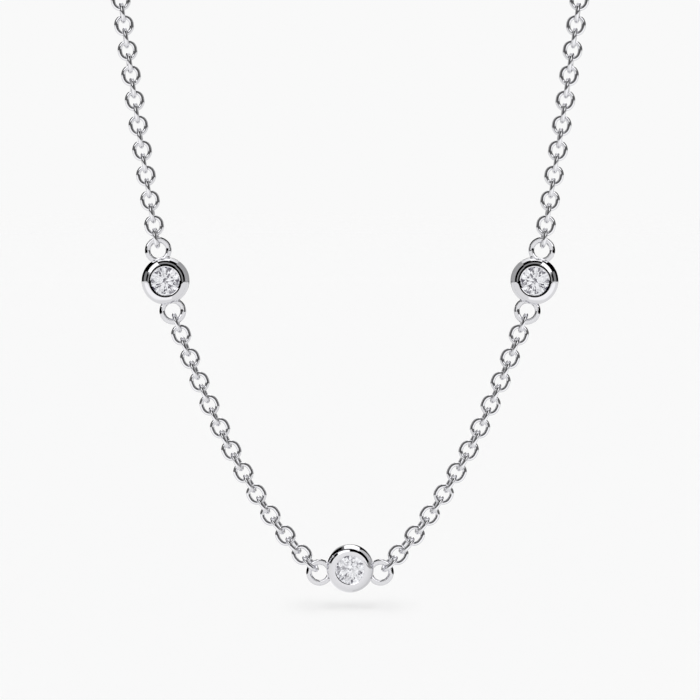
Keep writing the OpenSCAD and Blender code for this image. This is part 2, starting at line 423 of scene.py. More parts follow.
def spin_round(bm, steps):
    """Turns the section that the bmesh holds once round Z."""
    bmesh.ops.spin(bm, geom=bm.verts[:] + bm.edges[:], cent=(0, 0, 0), axis=(0, 0, 1), angle=math.tau,
                   steps=steps, use_merge=True)


def ring(outer_d, wire, sides, wire_sides, offset=0.0):
    """A wire ring round Z. An offset, in steps, turns its first section away from X."""
    bm = bmesh.new()
    bmesh.ops.create_circle(bm, segments=wire_sides, radius=wire / 2)
    rotate(bm, math.pi / 2, "X")
    shift(bm, ((outer_d - wire) / 2, 0, 0))
    rotate(bm, math.tau * offset / sides, "Z")
    spin_round(bm, sides)
    return bm


def copy_of(bm, template, matrix):
    """Adds the template's mesh, moved by the matrix."""
    bm.verts.ensure_lookup_table()
    first = len(bm.verts)
    bm.from_mesh(template)
    bm.verts.ensure_lookup_table()
    bmesh.ops.transform(bm, matrix=matrix, verts=bm.verts[first:])


def template_of(bm, name):
    """A mesh for copying, made from the bmesh."""
    bmesh.ops.recalc_face_normals(bm, faces=bm.faces[:])
    mesh = bpy.data.meshes.new(name)
    bm.to_mesh(mesh)
    bm.free()
    return mesh


def link_template(chain, sides, wire_sides):
    """An oval link with its length along Z and its plane facing -Y."""
    bm = ring(chain.link_width, chain.wire, sides, wire_sides, offset=0.5)
    stretch = (chain.link_length - chain.link_width) / 2
    for side in (-1, 1):
        half = [v for v in bm.verts if v.co.y * side > 0]
        bmesh.ops.translate(bm, verts=half, vec=(0, side * stretch, 0))
    rotate(bm, math.pi / 2, "X")
    return template_of(bm, "link")


def strand_place(drape, anchor, start, run):
    """Point of a strand at a distance along it, and its lean from upright."""
    def across(s):
        return drape.sag * math.asinh(s / drape.sag)

    def up(s):
        return math.hypot(drape.sag, s)

    x = anchor.x - across(start + run) + across(start)
    z = anchor.z + up(start + run) - up(start)
    return Vector((x, anchor.y, z)), math.atan2(drape.sag, start + run)


class Layout:
    """Places of the stations and of the chain's ends on the left, from the driving sizes."""

    def __init__(self, scene):
        drape, chain, station = scene.necklace_drape, scene.necklace_chain, scene.necklace_station
        clasp = scene.necklace_clasp
        self.centre = Vector((0, -drape.neck_depth, -drape.front_drop - station.centre_loop_drop))
        self.centre_loop = self.centre - Vector((station.centre_reach, 0, 0))
        run = 2 * chain.loop_to_link + (chain.lower_links - 1) * chain.pitch
        lower_loop, _ = strand_place(drape, self.centre_loop, drape.lower_start, run)
        lean = Vector((-math.sin(station.side_lean), 0, math.cos(station.side_lean)))
        self.side = lower_loop + station.side_reach * lean
        self.upper_loop = self.side + station.side_reach * lean
        run = chain.loop_to_link + chain.upper_links * chain.pitch
        self.back_start, angle = strand_place(drape, self.upper_loop, drape.upper_start, run)
        self.back_way = Vector((-math.sin(angle), 0, math.cos(angle)))
        self.side_point = Vector((-drape.half_width, -drape.side_depth, -drape.side_drop))
        self.side_way = Vector((0, math.cos(drape.side_rise), math.sin(drape.side_rise)))
        self.clasp_link = Vector((-clasp.reach, 0, 0))


def facing_front(tilt=0.0, roll=0.0):
    """Turns a station made with its face to +Z and its loops along X, to hang facing the front."""
    return Matrix.Rotation(math.pi / 2 + tilt, 4, "X") @ Matrix.Rotation(roll, 4, "Z")


def centre_matrix(scene):
    """Place of the centre station."""
    station = scene.necklace_station
    place = Matrix.Translation(Layout(scene).centre) @ facing_front(tilt=station.centre_tilt)
    return place @ Matrix.Translation((0, station.centre_loop_drop, station.loop_back))


def side_matrix(scene):
    """Place of the left station."""
    station = scene.necklace_station
    place = Matrix.Translation(Layout(scene).side) @ facing_front(roll=math.pi / 2 + station.side_lean)
    return place @ Matrix.Translation((0, 0, station.loop_back))


def station_places(scene):
    """Places of the three stations."""
    left = side_matrix(scene)
    sides = {side: matrix @ left for side, matrix in SIDES.items()}
    return {"centre": centre_matrix(scene), **sides}


def arc(bm, start, centre, angle, steps, stretch=1.0):
    """Sweeps a vertex round a centre in the XZ plane, from X towards Z, and returns the last one."""
    before = set(bm.verts)
    bmesh.ops.spin(bm, geom=[start], cent=centre, axis=(0, -1, 0), angle=angle, steps=steps)
    swept = [v for v in bm.verts if v not in before]
    for v in swept:
        v.co.z = centre.z + (v.co.z - centre.z) * stretch
    return swept[-1]


def line(bm, start, *corners):
    """Straight edges from a vertex through corners in the XZ plane. Returns the last vertex."""
    for x, z in corners:
        end = bm.verts.new((x, 0, z))
        bm.edges.new((start, end))
        start = end
    return start


def bezel(scene):
    """The rounded bezel, face to +Z, turned from one section."""
    station, stone = scene.necklace_station, scene.necklace_stone
    outer, rim = station.bezel_d / 2, station.rim_d / 2
    lip, hole = station.opening_d / 2, station.back_hole_d / 2
    front = station.bezel_depth / 2
    seat = stone.diameter / 2 + stone.seat_gap
    girdle_top = stone.girdle_height + stone.girdle / 2 + stone.seat_gap
    girdle_bottom = stone.girdle_height - stone.girdle / 2 - stone.seat_gap
    hole_top = girdle_bottom - (seat - hole) * 2 * stone.pavilion
    bm = bmesh.new()
    first = bm.verts.new((hole, 0, -front))
    end = line(bm, first, (outer - station.heel, -front))
    end = arc(bm, end, Vector((outer - station.heel, 0, station.heel - front)), math.pi / 2, HEEL_STEPS)
    end = line(bm, end, (outer, front - station.shoulder))
    across = (outer - rim) / (1 - math.cos(station.dome_end))
    dome = Vector((outer - across, 0, front - station.shoulder))
    stretch = station.shoulder / across / math.sin(station.dome_end)
    end = arc(bm, end, dome, station.dome_end, DOME_STEPS, stretch)
    dish_depth = station.dish * math.tan(station.dish_slope)
    end = line(bm, end, (lip + station.dish, front), (lip, front - dish_depth))
    end = line(bm, end, (lip, girdle_top + station.lip), (seat, girdle_top))
    end = line(bm, end, (seat, girdle_bottom), (hole, hole_top))
    bm.edges.new((end, first))
    spin_round(bm, station.sides)
    return bm


def fused(name, solids):
    """One closed mesh from solids that overlap."""
    base, *others = [new_object(f"{name}_{i}", bm, None) for i, bm in enumerate(solids)]
    for other in others:
        cut = base.modifiers.new("Solder", "BOOLEAN")
        cut.operation = "UNION"
        cut.solver = "EXACT"
        cut.object = other
    graph = bpy.context.evaluated_depsgraph_get()
    mesh = bpy.data.meshes.new_from_object(base.evaluated_get(graph))
    for each in (base, *others):
        bpy.data.objects.remove(each)
    return mesh


def soldered_loops(station, ends, reach, drop):
    """Meshes of the two loops beside a bezel along X, each under the name of its end."""
    loops = {}
    for end, side in zip(ends, (-1, 1)):
        bm = ring(station.loop_d, station.loop_wire, LOOP_SIDES, LOOP_WIRE_SIDES, offset=0.5)
        shift(bm, (side * reach, -drop, -station.loop_back))
        loops[end] = template_of(bm, "loop")
    return loops


def crisp_ring(mesh):
    """Keeps the edges of the flat ring round the stone sharp."""
    bm = bmesh.new()
    bm.from_mesh(mesh)
    bm.normal_update()
    for edge in bm.edges:
        level = [face.normal.z > LEVEL for face in edge.link_faces]
        if any(level) and not all(level):
            edge.smooth = False
    bm.to_mesh(mesh)
    bm.free()
    return mesh


def placed(name, mesh, matrix, material, smooth=True):
    """An object at the origin with a moved copy of the mesh."""
    bm = bmesh.new()
    copy_of(bm, mesh, matrix)
    return new_object(name, bm, material, smooth)


class NECKLACE_OT_settings(Operator):
    """Makes the three bezels and the loops that run into them."""

    bl_idname = "necklace.settings"
    bl_label = "Settings"

    def execute(self, context):
        scene = context.scene
        station = scene.necklace_station
        metal = white_gold(context)
        body = crisp_ring(template_of(bezel(scene), "bezel"))
        drop = station.centre_loop_drop
        across = soldered_loops(station, ("left", "right"), station.centre_reach, drop)
        upright = soldered_loops(station, ("lower", "upper"), station.side_reach, 0)
        for part, matrix in station_places(scene).items():
            stand_for(placed(f"Bezel_{part}", body, matrix, metal), f"setting_{part}")
            for end, loop in (across if part == "centre" else upright).items():
                piece = placed(f"Loop_{part}_{end}", loop, matrix, metal)
                stand_for(piece, f"setting_{part}")
        return {"FINISHED"}


def facets(bm, number, first, radius, height, slope, upward):
    """Grinds a row of flat facets. Each passes through a radius and height, at its slope."""
    for i in range(number):
        azimuth = first + math.tau * i / number
        out = Vector((math.cos(azimuth), math.sin(azimuth), 0))
        facing = math.sin(slope) * out + Vector((0, 0, math.cos(slope) if upward else -math.cos(slope)))
        cut = bmesh.ops.bisect_plane(bm, geom=bm.verts[:] + bm.edges[:] + bm.faces[:], dist=TOUCH,
                                     plane_co=radius * out + Vector((0, 0, height)), plane_no=facing,
                                     clear_outer=True)
        edges = [e for e in cut["geom_cut"] if isinstance(e, bmesh.types.BMEdge)]
        bmesh.ops.edgeloop_fill(bm, edges=edges)


def brilliant(scene):
    """A round brilliant ground from a cylinder, its table to +Z."""
    stone = scene.necklace_stone
    girdle = stone.diameter / 2
    table = girdle * stone.table
    top = stone.girdle_height + stone.girdle / 2
    bottom = stone.girdle_height - stone.girdle / 2
    crown = stone.crown * stone.diameter
    pavilion = stone.pavilion * stone.diameter
    half_step = math.pi / stone.halves
    star = table + (girdle - table) * stone.star_share
    star_rise = crown * (girdle - star * math.cos(half_step)) / (girdle - table)
    lower = girdle * stone.lower_share
    lower_rise = pavilion * lower * math.cos(half_step) / girdle
    chord = girdle * math.cos(half_step / 2)
    bm = bmesh.new()
    bmesh.ops.create_cone(bm, cap_ends=True, segments=stone.girdle_sides, radius1=girdle, radius2=girdle,
                          depth=crown + pavilion + stone.girdle)
    shift(bm, (0, 0, top + (crown - pavilion - stone.girdle) / 2))
    facets(bm, stone.halves, 0, girdle, top, math.atan2(crown, girdle - table), True)
    star_slope = math.atan2(crown - star_rise, star - table * math.cos(half_step))
    facets(bm, stone.halves, half_step, star, top + star_rise, star_slope, True)
    upper_slope = math.atan2(star_rise, chord - star * math.cos(half_step / 2))
    facets(bm, 2 * stone.halves, half_step / 2, chord, top, upper_slope, True)
    facets(bm, stone.halves, 0, girdle, bottom, math.atan2(pavilion, girdle), False)
    lower_slope = math.atan2(pavilion - lower_rise, chord - lower * math.cos(half_step / 2))
    facets(bm, 2 * stone.halves, half_step / 2, chord, bottom, lower_slope, False)
    return template_of(bm, "brilliant")


class NECKLACE_OT_stones(Operator):
    """Grinds the three round brilliants."""

    bl_idname = "necklace.stones"
    bl_label = "Stones"

    def execute(self, context):
        scene = context.scene
        stone, glassy = brilliant(scene), diamond(context)
        for part, matrix in station_places(scene).items():
            piece = placed(f"Brilliant_{part}", stone, matrix, glassy, smooth=False)
            stand_for(piece, f"stone_{part}")
        return {"FINISHED"}


def link_spin(chain, k, below):
    """Turn of link k of a strand that has a number of links below it, with a small stray part."""
    turned = chain.link_turn + chain.turn_gain * (below + k) if k % 2 == 0 else 0
    return turned + chain.swing * math.sin(STRAY * (below + k))


def strand_mesh(scene, template, anchor, start, number, below):
    """Links one after another up a strand on the left, every second one turned."""
    drape, chain = scene.necklace_drape, scene.necklace_chain
    bm = bmesh.new()
    for k in range(number):
        place, lean = strand_place(drape, anchor, start, chain.loop_to_link + k * chain.pitch)
        copy_of(bm, template, Matrix.Translation(place) @ Matrix.Rotation(-lean, 4, "Y")
                @ Matrix.Rotation(link_spin(chain, k, below), 4, "Z"))
    return template_of(bm, "strand")


class NECKLACE_OT_front_chain(Operator):
    """Makes the four strands of the front, link by link."""

    bl_idname = "necklace.front_chain"
    bl_label = "Front chain"

    def execute(self, context):
        scene = context.scene
        drape, chain = scene.necklace_drape, scene.necklace_chain
        layout = Layout(scene)
        metal = white_gold(context)
        link = link_template(chain, chain.front_sides, chain.front_wire_sides)
        for part, anchor, start, number, below in (
            ("lower", layout.centre_loop, drape.lower_start, chain.lower_links, 0),
            ("upper", layout.upper_loop, drape.upper_start, chain.upper_links, chain.lower_links),
        ):
            strand = strand_mesh(scene, link, anchor, start, number, below)
            for side, matrix in SIDES.items():
                piece = placed(f"Links_{side}_{part}", strand, matrix, metal)
                stand_for(piece, f"chain_{side}_{part}")
        return {"FINISHED"}


def evenly_along(points, steps):
    """Places and directions at equal distances along a fine run of points."""
    gone = [0.0]
    for a, b in zip(points, points[1:]):
        gone.append(gone[-1] + (b - a).length)
    found, at = [], 0
    for i in range(steps + 1):
        target = gone[-1] * i / steps
        while at < len(gone) - 2 and gone[at + 1] < target:
            at += 1
        here = (target - gone[at]) / (gone[at + 1] - gone[at])
        found.append((points[at].lerp(points[at + 1], here), (points[at + 1] - points[at]).normalized()))
    return found


def curve(start, start_pull, end_pull, end):
    """Points along a curve that leaves its start along one pull and meets its end along the other."""
    return interpolate_bezier(start, start + start_pull, end - end_pull, end, ROUTE_POINTS)


def back_route(scene, steps):
    """Places and directions of the hidden links on the left, from the front to the clasp."""
    drape, layout = scene.necklace_drape, Layout(scene)
    front = curve(layout.back_start, drape.front_pull * layout.back_way,
                  drape.side_pull_front * layout.side_way, layout.side_point)
    nape = curve(layout.side_point, drape.side_pull_back * layout.side_way,
                 Vector((drape.nape_pull, 0, 0)), layout.clasp_link)
    return evenly_along(front + nape[1:], steps)


def back_strand(scene, template, steps):
    """The hidden links on the left. A link that isn't turned faces away from the neck."""
    drape, chain = scene.necklace_drape, scene.necklace_chain
    bm = bmesh.new()
    for k, (place, way) in enumerate(back_route(scene, steps)):
        away = Vector((place.x, place.y + drape.side_depth, 0))
        blend = min(k / BLEND_LINKS, 1)
        outward = FRONT.lerp(away.normalized(), blend)
        side = way.cross(-outward).normalized()
        facing = Matrix((side, way.cross(side), way)).transposed().to_4x4()
        spin = math.pi / 2 if (chain.upper_links + k) % 2 == 0 else 0
        copy_of(bm, template, Matrix.Translation(place) @ facing @ Matrix.Rotation(spin, 4, "Z"))
    return template_of(bm, "back")


class NECKLACE_OT_back_chain(Operator):
    """Makes the stretch of chain that runs round the neck to the clasp."""

    bl_idname = "necklace.back_chain"
    bl_label = "Back chain"

    def execute(self, context):
        scene = context.scene
        chain = scene.necklace_chain
        metal = white_gold(context)
        link = link_template(chain, chain.back_sides, chain.back_wire_sides)
        for side, matrix in SIDES.items():
            strand = back_strand(scene, link, getattr(chain, f"{side}_back_steps"))
            piece = placed(f"Links_{side}_back", strand, matrix, metal)
            take_place(piece, f"chain_{side}_back")
        return {"FINISHED"}


def thumb_nub(clasp):
    """The nub on the clasp's ring, with its outer end rounded."""
    bm = bmesh.new()
    bmesh.ops.create_cone(bm, cap_ends=True, segments=NUB_SIDES, radius1=clasp.nub_d / 2,
                          radius2=clasp.nub_d / 2, depth=clasp.nub_h)
    top = [e for e in bm.edges if all(v.co.z > 0 for v in e.verts)]
    bmesh.ops.bevel(bm, geom=top, offset=clasp.nub_d / 4, offset_type="OFFSET", affect="EDGES",
                    segments=NUB_STEPS, profile=0.5, material=-1)
    shift(bm, (0, 0, (clasp.clasp_d - clasp.clasp_wire + clasp.nub_h) / 2))
    rotate(bm, math.pi / 2, "Y")
    rotate(bm, clasp.nub_turn, "Z")
    return bm


def ring_clasp(clasp):
    """The clasp's ring, eye and nub as one mesh, lying flat."""
    body = ring(clasp.clasp_d, clasp.clasp_wire, clasp.sides, CLASP_WIRE_SIDES, offset=0.5)
    eye = ring(clasp.eye_inner_d + 2 * clasp.eye_wire, clasp.eye_wire, EYE_SIDES, EYE_WIRE_SIDES)
    shift(eye, (-clasp.eye_reach, 0, 0))
    return fused("clasp", [body, eye, thumb_nub(clasp)])


def end_ring(clasp, chain):
    """The ring at the right end of the chain."""
    outer_d = clasp.end_inner_d + 2 * clasp.end_wire
    bm = ring(outer_d, clasp.end_wire, END_RING_SIDES, END_RING_WIRE_SIDES)
    shift(bm, (clasp.reach - (chain.pitch + clasp.end_inner_d) / 2, 0, 0))
    return bm


class NECKLACE_OT_clasp(Operator):
    """Makes the plain ring clasp and the end ring that it holds."""

    bl_idname = "necklace.clasp"
    bl_label = "Clasp"

    def execute(self, context):
        scene = context.scene
        clasp, chain = scene.necklace_clasp, scene.necklace_chain
        metal = white_gold(context)
        upright = Matrix.Rotation(math.pi / 2, 4, "X")
        stand_for(placed("Ring_clasp", ring_clasp(clasp), upright, metal), "clasp")
        stand_for(new_object("End_ring", end_ring(clasp, chain), metal), "end_ring")
        return {"FINISHED"}


# Squares along each side of a light card.
CARD_SQUARES = 24
# Share by which each set of cards lies further out than the one before.
SET_STEP = 0.1
# The pale table that each half sees, and the gleam on it, in metres from the middle of the cards: how
# far they run across and from front to back, and the table's drop at its outer and inner ends.
TABLE_ACROSS = (-2.5, 2.5)
TABLE_DEEP = (-2.1, 2.5)
TABLE_DROP = Vector((-0.12, -0.2))
TABLE_GLOW = 0.77
GLEAM_ACROSS = (-1, 0.05)
GLEAM_DEEP = (-0.9, 0.15)
GLEAM_GLOW = 0.25
# The gleam's drop as a share of the table's.
GLEAM_LIFT = 0.97
# Where the gleam ends towards the back, on its outer and on its inner side, how far across it changes
# from one to the other, and how softly it ends.
GLEAM_END = (-0.01, -0.15)
GLEAM_CHANGE = (-0.12, -0.02)
GLEAM_SOFTNESS = 0.09
# The patches that the stones see: their scale, glow and shade, and the share by which they lie behind
# the cards.
PATCH_SCALE = 3.0
PATCH_GLOW = 1.08
PATCH_SHADE = (0.02, 0.014, 0.04)
PATCH_REACH = 1.3
# For each stone, the seed of its patches and the range of them that runs from shade to light. A
# narrow range makes them starker.
PATCHES = {"left": (10.0, (0.28, 0.58)), "right": (10.0, (0.28, 0.58)), "centre": (3.0, (0.16, 0.58))}
# Turns and openings of a card that closes all round.
ALL_ROUND = ((0, 360), ((0, 180), (0, 180)))
# Parts of each overhead tube, to add up its light.
TUBE_PARTS = 400
FLOOR_SIDES = 64
WHITE = (1, 1, 1)
# Pieces that shade the floor.
CASTING = ("Bezel_centre", "Loop_centre_left", "Loop_centre_right")
# How near and how far the camera sees, in metres.
CLIP = (0.01, 10)

# Light cards. Each row has a name, the turns from start to end, the near and far openings at the start
# and at the end, and the glow at those four corners. Turns and openings are in degrees.
SIDE_LIGHTS = (
    ("Line", (-6, 54), ((17, 35), (17, 35)), ((0.27, 0.27), (0.27, 0.27))),
    ("Line_top", (54, 115), ((25, 47), (25, 51)), ((0.25, 0.25), (0.25, 0.25))),
    ("Line_end", (115, 186), ((14, 24), (14, 34)), ((0.2, 0.2), (0.3, 0.3))),
    ("Softbox", (115, 154), ((24, 83), (19, 66)), ((1.3, 1.3), (1.3, 1.3))),
    ("Softbox_end", (154, 162), ((19, 52), (22, 42)), ((0.8, 0.5), (0.35, 0.1))),
    ("Patch", (155, 184), ((63, 104), (60, 102)), ((0.22, 0.2), (0.24, 0.24))),
    ("Wall", (-4, 56), ((70, 180), (70, 180)), ((0.4, 0.33), (0.4, 0.31))),
    ("Wall_end", (56, 80), ((92, 160), (92, 160)), ((0.8, 0.6), (1.1, 0.8))),
    ("Roof", (80, 113), ((80, 168), (80, 168)), ((1.2, 1.2), (1.2, 1.2))),
    ("Roof_end", (113, 127), ((108, 180), (110, 180)), ((1.2, 1.2), (1.2, 1.2))),
    ("Back", (56, 113), ((160, 180), (168, 180)), ((0.45, 0.45), (0.6, 0.6))),
)
CENTRE_LIGHTS = (
    ("Front", (0, 84), ((0, 46), (0, 32)), ((0.87, 0.87), (0.87, 0.87))),
    ("Front_end", (84, 169), ((0, 32), (0, 66)), ((0.87, 0.87), (0.87, 0.87))),
    ("Softbox", (91, 132), ((35, 62), (42, 82)), ((1.3, 1.3), (1.3, 1.3))),
    ("Softbox_end", (132, 139), ((44, 58), (46, 52)), ((0.8, 0.5), (0.3, 0.2))),
    ("Patch", (145, 152), ((82, 120), (86, 108)), ((0.95, 0.75), (0.6, 0.45))),
    ("Side", (-4, 14), ((44, 180), (56, 180)), ((0.3, 0.3), (0.28, 0.3))),
    ("Wall", (14, 56), ((82, 150), (84, 128)), ((0.66, 0.4), (0.7, 0.55))),
    ("Wall_end", (56, 62), ((84, 116), (80, 110)), ((0.7, 0.6), (0.9, 0.9))),
    ("Roof", (62, 107), ((76, 172), (88, 172)), ((1.2, 1.2), (1.2, 1.2))),
    ("Roof_end", (107, 114), ((92, 172), (98, 172)), ((0.14, 0.14), (0.1, 0.1))),
    ("Back", (66, 166), ((164, 180), (164, 180)), ((0.4, 0.45), (0.4, 0.45))),
    ("Bounce", (169, 216), ((0, 100), (0, 100)), ((0.88, 0.74), (0.86, 0.8))),
    ("Bounce_back", (169, 216), ((100, 180), (100, 180)), ((0.74, 0.42), (0.8, 1.3))),
    ("Bounce_low", (216, 276), ((0, 100), (0, 100)), ((0.86, 0.8), (0.87, 0.74))),
    ("Bounce_low_back", (216, 276), ((100, 180), (100, 180)), ((0.8, 1.3), (0.74, 0.8))),
    ("Bounce_end", (276, 356), ((0, 100), (0, 100)), ((0.87, 0.74), (0.9, 0.68))),
    ("Bounce_end_back", (276, 356), ((100, 180), (100, 180)), ((0.56, 0.9), (0.68, 0.5))),
)
LOOP_LIGHTS = (
    ("Front", (0, 96), ((0, 44), (0, 52)), ((0.8, 0.8), (0.8, 0.8))),
    ("Front_end", (96, 180), ((0, 36), (0, 40)), ((0.8, 0.8), (0.8, 0.8))),
    ("Softbox", (96, 162), ((46, 84), (40, 88)), ((1.3, 1.3), (1.3, 1.3))),
    ("Strip", (100, 150), ((124, 160), (112, 150)), ((0.6, 0.6), (0.4, 0.4))),
    ("Side", (-4, 22), ((88, 180), (88, 180)), ((0.45, 0.4), (0.45, 0.4))),
    ("Wall", (22, 84), ((56, 74), (62, 76)), ((0.75, 0.6), (0.8, 0.7))),
    ("Roof", (84, 100), ((84, 150), (84, 150)), ((1.1, 0.9), (1.1, 0.9))),
    ("Bounce", (194, 356), ((0, 180), (0, 180)), ((0.86, 0.74), (0.86, 0.6))),
)

# Sets of cards: the part that each lights, the side that it is laid out for and its cards.
LIGHT_SETS = (
    ("left", -1, SIDE_LIGHTS),
    ("right", 1, SIDE_LIGHTS),
    ("centre", -1, CENTRE_LIGHTS),
    ("loops_left", -1, LOOP_LIGHTS),
    ("loops_right", 1, LOOP_LIGHTS),
)


def floor_material(studio):
    """A pale lit table: part of its light comes from within, the rest can be shaded. It fades out
    where its cover falls under 1."""
    material, tree = empty_material("Pale_table")
    dullness = studio.pale * studio.shade_share
    dull = make_node(tree, "BsdfDiffuse", {"Color": (dullness, dullness, dullness, 1)})
    glow = make_node(tree, "Emission", {"Strength": studio.pale - dullness})
    table = added(tree, dull.outputs["BSDF"], glow.outputs["Emission"])
    cover = make_node(tree, "Attribute", attribute_name="cover")
    clear = make_node(tree, "BsdfTransparent")
    fading = make_node(tree, "MixShader", {0: cover.outputs["Fac"], 1: clear.outputs["BSDF"], 2: table})
    show(tree, fading.outputs["Shader"])
    return material


def hide_from(piece, *rays):
    """Hides the piece from some kinds of rays."""
    for ray in rays:
        setattr(piece, f"visible_{ray}", False)


def make_floor(studio):
    """The pale table under the necklace. Its outer half fades out, so its edge doesn't show."""
    bm = bmesh.new()
    bmesh.ops.create_circle(bm, cap_ends=True, cap_tris=True, segments=FLOOR_SIDES,
                            radius=studio.floor_size)
    cover = bm.verts.layers.float.new("cover")
    for v in bm.verts:
        v[cover] = 2 * (1 - v.co.length / studio.floor_size)
    shift(bm, (0, 0, studio.floor_height))
    floor = new_object("Floor", bm, floor_material(studio), smooth=False)
    hide_from(floor, "glossy", "transmission")


def make_world(studio):
    """A pale backdrop that sheds no light of its own."""
    world = bpy.data.worlds.new("Studio")
    bpy.context.scene.world = world
    world.use_nodes = True
    tree = world.node_tree
    tree.nodes.clear()
    seen = make_node(tree, "LightPath").outputs["Is Camera Ray"]
    strength = make_node(tree, "Math", {0: seen, 1: studio.pale}, operation="MULTIPLY")
    light = make_node(tree, "Background", {"Color": (*WHITE, 1), "Strength": strength.outputs["Value"]})
    make_node(tree, "OutputWorld", {"Surface": light.outputs["Background"]})


def shine(material, light):
    """Adds the light to whatever lies behind the card. Only gloss and refraction look for it."""
    material.cycles.emission_sampling = "NONE"
    tree = material.node_tree
    glow = make_node(tree, "Emission", light)
    clear = make_node(tree, "BsdfTransparent")
    show(tree, added(tree, glow.outputs["Emission"], clear.outputs["BSDF"]))


def glow_material(name):
    """White light as strong as the card's own glow."""
    material, tree = empty_material(name)
    strength = make_node(tree, "Attribute", attribute_name="glow")
    shine(material, {"Color": (*WHITE, 1), "Strength": strength.outputs["Fac"]})
    return material


def patchwork_material(name, seed, tones):
    """Patches of light and shade for a stone to break up."""
    material, tree = empty_material(name)
    spot = make_node(tree, "Attribute", attribute_name="spot")
    inputs = {"Vector": spot.outputs["Vector"], "Scale": PATCH_SCALE, "W": seed}
    cells = make_node(tree, "TexVoronoi", inputs, voronoi_dimensions="4D")
    split = make_node(tree, "SeparateColor", {"Color": cells.outputs["Color"]})
    lightness = ranged(tree, split.outputs["Red"], tones, (0, 1))
    shine(material, {"Color": mixed(tree, lightness, PATCH_SHADE, WHITE), "Strength": PATCH_GLOW})
    return material


def light_card(name, material, middle, side, place, glow, lit):
    """A card that lights one collection. Its place and its glow are given for a share along it and a
    share out, and laid out for the left. Only gloss and refraction see it."""
    bm = bmesh.new()
    bmesh.ops.create_grid(bm, x_segments=CARD_SQUARES, y_segments=CARD_SQUARES, size=0.5)
    layer = bm.verts.layers.float.new("glow")
    spots = bm.verts.layers.float_vector.new("spot")
    for v in bm.verts:
        along, out = v.co.x + 0.5, v.co.y + 0.5
        spot = place(along, out)
        v.co = middle + Vector((-side * spot.x, spot.y, spot.z))
        v[layer] = glow(along, out)
        v[spots] = spot.normalized()
    card = new_object(name, bm, material, smooth=False)
    hide_from(card, "camera", "diffuse", "shadow", "volume_scatter")
    card.light_linking.receiver_collection = lit
    return card


def part_way(pair, share):
    """The value a share of the way between the two of a pair."""
    return pair[0] + (pair[1] - pair[0]) * share


def between(corners, along, out):
    """A value between those at the four corners of a card, given as near and far at each end."""
    start, end = corners
    return part_way(start, out) * (1 - along) + part_way(end, out) * along


def on_shell(radius, turns, openings):
    """Places on a wide shell round the hanging front. Turns run from right to left over the top, and
    openings from the way to the camera to straight behind."""
    def place(along, out):
        around = math.radians(part_way(turns, along))
        opening = math.radians(between(openings, along, out))
        across = math.sin(opening)
        return radius * Vector((across * math.cos(around), -math.cos(opening), across * math.sin(around)))

    return place


def on_table(across, deep, drop):
    """Places on a card that lies about level under the middle of the cards."""
    return lambda along, out: Vector((part_way(across, along), part_way(deep, out), part_way(drop, along)))


def gleam(along, out):
    """Glow of the gleam. It ends softly towards the back, and sooner on its inner side."""
    change = (part_way(GLEAM_ACROSS, along) - GLEAM_CHANGE[0]) / (GLEAM_CHANGE[1] - GLEAM_CHANGE[0])
    end = part_way(GLEAM_END, min(max(change, 0), 1))
    inside = 0.5 + (end - part_way(GLEAM_DEEP, out)) / GLEAM_SOFTNESS
    return GLEAM_GLOW * min(max(inside, 0), 1)


def set_of(name):
    """The set of lights that lights a piece."""
    side = "right" if "right" in name else "left"
    if "Loop" in name:
        return f"loops_{side}"
    part = "centre" if "centre" in name else side
    return f"stone_{part}" if "Brilliant" in name else part


def collected(name, pieces):
    """A collection of pieces, for light linking."""
    collection = bpy.data.collections.new(name)
    for piece in pieces:
        collection.objects.link(piece)
    return collection


def set_cards(rows, radius, spread):
    """Name, places and glow of each card of a set. A half's set has the pale table and its gleam too."""
    cards = [(name, on_shell(radius, turns, openings), partial(between, glows))
             for name, turns, openings, glows in rows]
    if rows is SIDE_LIGHTS:
        drop = TABLE_DROP * spread
        cards.append(("Table", on_table(TABLE_ACROSS, TABLE_DEEP, drop), lambda along, out: TABLE_GLOW))
        cards.append(("Gleam", on_table(GLEAM_ACROSS, GLEAM_DEEP, drop * GLEAM_LIFT), gleam))
    return cards


def patch_card(part, middle, side, radius):
    """Patches of light and shade behind a set of cards, for one stone alone."""
    name = f"Patches_{part}"
    material = patchwork_material(name, *PATCHES[part])
    stone = collected(f"Lit_stone_{part}", [bpy.data.objects[f"Brilliant_{part}"]])
    place = on_shell(radius * PATCH_REACH, *ALL_ROUND)
    light_card(name, material, middle, side, place, lambda along, out: 1, stone)


def make_lights(studio, middle):
    """Light for each half, a mirror image of the other, for the centre station, for the loops of each
    side and for each stone. Each set lies further out, so that no two cards share a place."""
    material = glow_material("Light")
    pieces = [piece for piece in bpy.data.objects if piece.visible_camera and piece.name != "Floor"]
    for i, (part, side, rows) in enumerate(LIGHT_SETS):
        spread = 1 + SET_STEP * i
        radius = studio.shell_radius * spread
        lit = collected(f"Lit_{part}", [piece for piece in pieces if set_of(piece.name) == part])
        for name, place, glow in set_cards(rows, radius, spread):
            light_card(f"{name}_{part}", material, middle, side, place, glow, lit)
        if part in PATCHES:
            patch_card(part, middle, side, radius)


